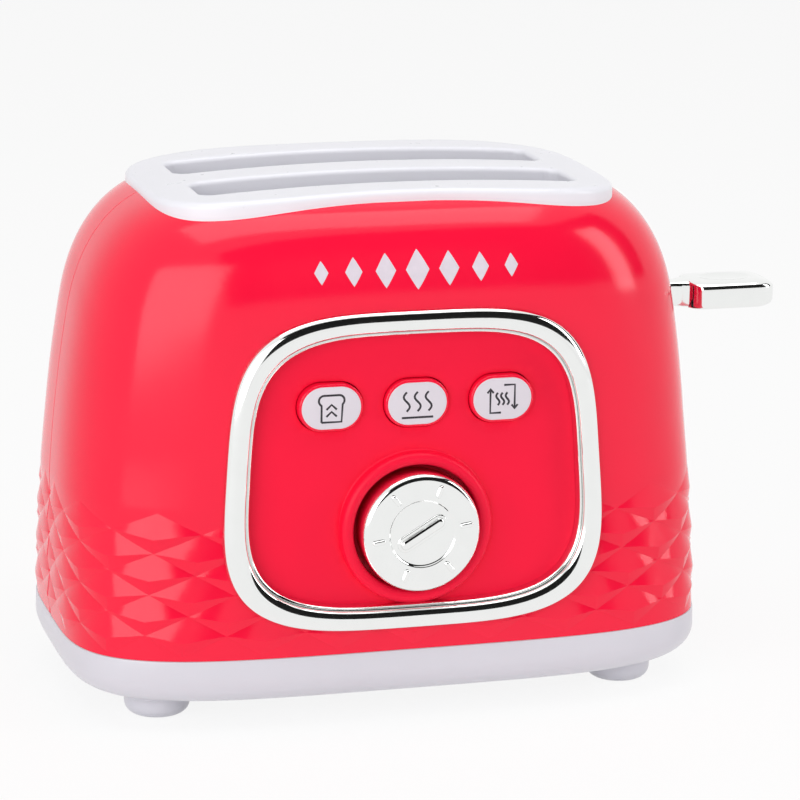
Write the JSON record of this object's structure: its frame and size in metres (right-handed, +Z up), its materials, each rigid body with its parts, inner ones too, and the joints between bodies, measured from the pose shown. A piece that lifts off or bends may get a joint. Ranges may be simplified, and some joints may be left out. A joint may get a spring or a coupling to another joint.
{
  "type": "toy toaster",
  "caption": "Play toaster with a rounded faceted body, bread slots under a pale trim, a wind-up timer dial, push buttons and a sprung side lever that lowers the toast rests.",
  "frame": {"origin": "on the ground under the middle of the body, between the four feet", "axes": "+X to the lever's end, -Y to the front with the dial and buttons, +Z up"},
  "size_m": [0.222, 0.1215, 0.1512],
  "materials": {
    "red_shell": "glossy coral red moulded plastic",
    "white_tray": "glossy white moulded plastic",
    "white_trim": "glossy white moulded plastic",
    "red_panel": "smooth satin coral red moulded plastic",
    "icon_face": "pale inlay with dark printed pictograms",
    "chrome_plate": "bright plated plastic",
    "steel": "plain steel",
    "brass": "plain brass",
    "white_gear": "natural white gear plastic",
    "well_plastic": "matt lilac-grey plastic",
    "grey_plastic": "matt grey plastic"
  },
  "bodies": {
    "housing": {"front_shell": "red_shell", "rear_shell": "red_shell", "base_tray": "white_tray", "top_trim": "white_trim", "bread_well_front": "well_plastic", "bread_well_rear": "well_plastic", "front_panel": "red_panel", "panel_ring": "chrome_plate", "guide_rod_front": "steel", "guide_rod_rear": "steel", "guide_bracket": "grey_plastic", "lift_spring_front": "steel", "lift_spring_rear": "steel", "button_spring_left": "steel", "button_spring_middle": "steel", "button_spring_right": "steel", "button_plate": "grey_plastic", "timer_front_plate": "steel", "timer_rear_plate": "steel", "timer_pillars": "brass", "spring_barrel": "brass", "latch_pin": "steel", "shell_screws": "steel", "base_screws": "steel", "timer_screws": "steel", "button_screws": "steel", "trim_screws": "steel"},
    "carriage": {"toast_carriage": "grey_plastic", "lever_arm": "steel", "lever_handle": "chrome_plate"},
    "timer_dial": {"dial_knob": "chrome_plate", "timer_shaft": "steel", "drive_gear": "white_gear", "release_cam": "white_gear", "mainspring": "steel"},
    "transfer_wheel": {"transfer_gear": "white_gear"},
    "governor_wheel": {"governor": "white_gear"},
    "latch": {"latch_lever": "steel"},
    "button_left_key": {"button_left": "red_shell", "button_face_left": "icon_face"},
    "button_middle_key": {"button_middle": "red_shell", "button_face_middle": "icon_face"},
    "button_right_key": {"button_right": "red_shell", "button_face_right": "icon_face"}
  },
  "joints": [
    {"name": "lever_slide", "type": "slide", "parent": "housing", "child": "carriage", "axis": [0, 0, -1], "range_m": [0, 0.042], "stiffness_N_per_m": 45, "springref_m": -0.012, "deforming": ["lift_spring_front", "lift_spring_rear"]},
    {"name": "timer_turn", "type": "hinge", "parent": "housing", "child": "timer_dial", "pos_m": [0, -0.0574, 0.0568], "axis": [0, 1, 0], "range_deg": [0, 270]},
    {"name": "transfer_spin", "type": "hinge", "parent": "housing", "child": "transfer_wheel", "pos_m": [-0.01879, -0.042, 0.04996], "axis": [0, 1, 0], "range_deg": [-1081, 1]},
    {"name": "governor_spin", "type": "hinge", "parent": "housing", "child": "governor_wheel", "pos_m": [-0.02102, -0.04, 0.06256], "axis": [0, 1, 0], "range_deg": [-1, 3241]},
    {"name": "latch_swing", "type": "hinge", "parent": "housing", "child": "latch", "pos_m": [0.052, -0.0316, 0.0622], "axis": [0, -1, 0], "range_deg": [-0.01, 5.51]},
    {"name": "button_left_push", "type": "slide", "parent": "housing", "child": "button_left_key", "axis": [0, 1, 0], "range_m": [0, 0.0012], "stiffness_N_per_m": 300, "springref_m": -0.0008, "deforming": ["button_spring_left"]},
    {"name": "button_middle_push", "type": "slide", "parent": "housing", "child": "button_middle_key", "axis": [0, 1, 0], "range_m": [0, 0.0012], "stiffness_N_per_m": 300, "springref_m": -0.0008, "deforming": ["button_spring_middle"]},
    {"name": "button_right_push", "type": "slide", "parent": "housing", "child": "button_right_key", "axis": [0, 1, 0], "range_m": [0, 0.0012], "stiffness_N_per_m": 300, "springref_m": -0.0008, "deforming": ["button_spring_right"]}
  ],
  "couplings": [
    {"joint": "transfer_spin", "follows": "timer_turn", "ratio": -4},
    {"joint": "governor_spin", "follows": "timer_turn", "ratio": 12},
    {"joint": "latch_swing", "follows": "timer_turn", "ratio": 0.02037}
  ]
}
